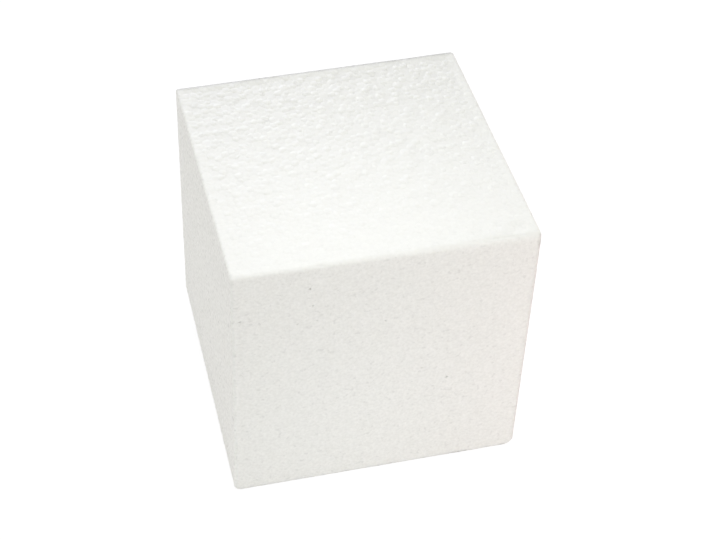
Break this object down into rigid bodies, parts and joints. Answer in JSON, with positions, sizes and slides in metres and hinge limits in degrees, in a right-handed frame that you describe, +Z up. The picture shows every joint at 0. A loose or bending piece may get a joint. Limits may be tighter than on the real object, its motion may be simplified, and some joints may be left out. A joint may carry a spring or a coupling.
{
  "type": "foam block",
  "caption": "Plain white cube of rigid bead foam with softened edges and worn corners, for craft, display, spacing or support.",
  "frame": {"origin": "centre of the bottom face, on the surface the block stands on", "axes": "+X to the right along the front face, +Y from the front face to the back, +Z up"},
  "size_m": [0.1, 0.1, 0.1],
  "materials": {
    "bead_foam": "matte, fused bead grain"
  },
  "bodies": {
    "root": {"foam_block": "bead_foam"}
  },
  "joints": []
}
